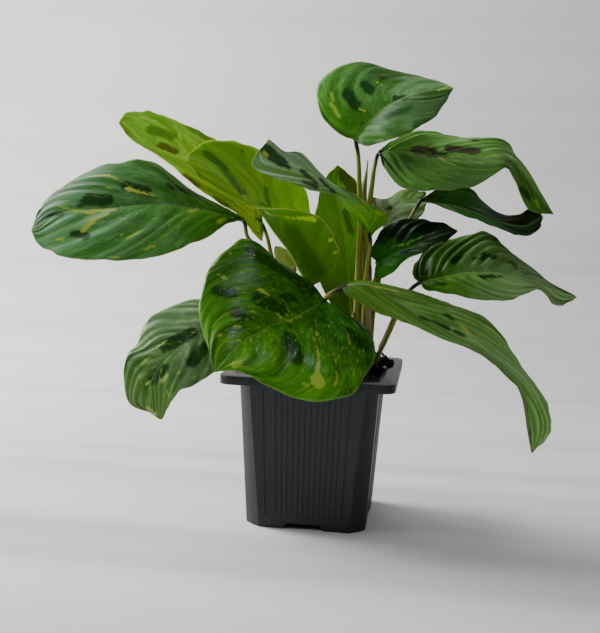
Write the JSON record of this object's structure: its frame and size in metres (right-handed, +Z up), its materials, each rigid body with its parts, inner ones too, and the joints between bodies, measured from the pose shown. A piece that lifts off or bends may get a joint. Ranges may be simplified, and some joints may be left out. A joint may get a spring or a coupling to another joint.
{
  "type": "potted prayer plant",
  "caption": "Variegated prayer plant with blotched, waved leaf blades on slender stalks, standing in a square ribbed nursery pot of soil.",
  "frame": {"origin": "middle of the pot's flat base, on the surface that it stands on", "axes": "+Z up through the middle of the pot, -Y towards the viewer of the picture, +X to that viewer's right; the pot's sides lie along X and Y"},
  "size_m": [0.3122, 0.1355, 0.274],
  "materials": {
    "pot_plastic": "satin",
    "potting_soil": "matte",
    "leaf_dark": "satin",
    "leaf_green": "satin",
    "leaf_light": "satin",
    "leaf_olive": "satin",
    "stalk": "satin",
    "sheath": "matte",
    "rolled_leaf": "satin"
  },
  "bodies": {
    "root": {"pot": "pot_plastic", "soil": "potting_soil", "blade_left": "leaf_dark", "petiole_left": "stalk", "blade_upper_left": "leaf_light", "petiole_upper_left": "stalk", "blade_cupped": "leaf_light", "petiole_cupped": "stalk", "blade_pointed": "leaf_dark", "petiole_pointed": "stalk", "blade_top": "leaf_green", "petiole_top": "stalk", "blade_right_upper": "leaf_green", "petiole_right_upper": "stalk", "blade_right_rear": "leaf_olive", "petiole_right_rear": "stalk", "blade_right_inner": "leaf_dark", "petiole_right_inner": "stalk", "blade_right": "leaf_green", "petiole_right": "stalk", "blade_drooping": "leaf_green", "petiole_drooping": "stalk", "blade_front": "leaf_green", "petiole_front": "stalk", "blade_lower_left": "leaf_green", "petiole_lower_left": "stalk", "blade_rear": "leaf_olive", "petiole_rear": "stalk", "blade_upright": "leaf_light", "petiole_upright": "stalk", "blade_new": "leaf_light", "petiole_new": "stalk", "sheath_left": "sheath", "sheath_right": "sheath", "sheath_right_upper": "sheath", "sheath_top": "sheath", "rolled_leaf": "rolled_leaf"}
  },
  "joints": []
}
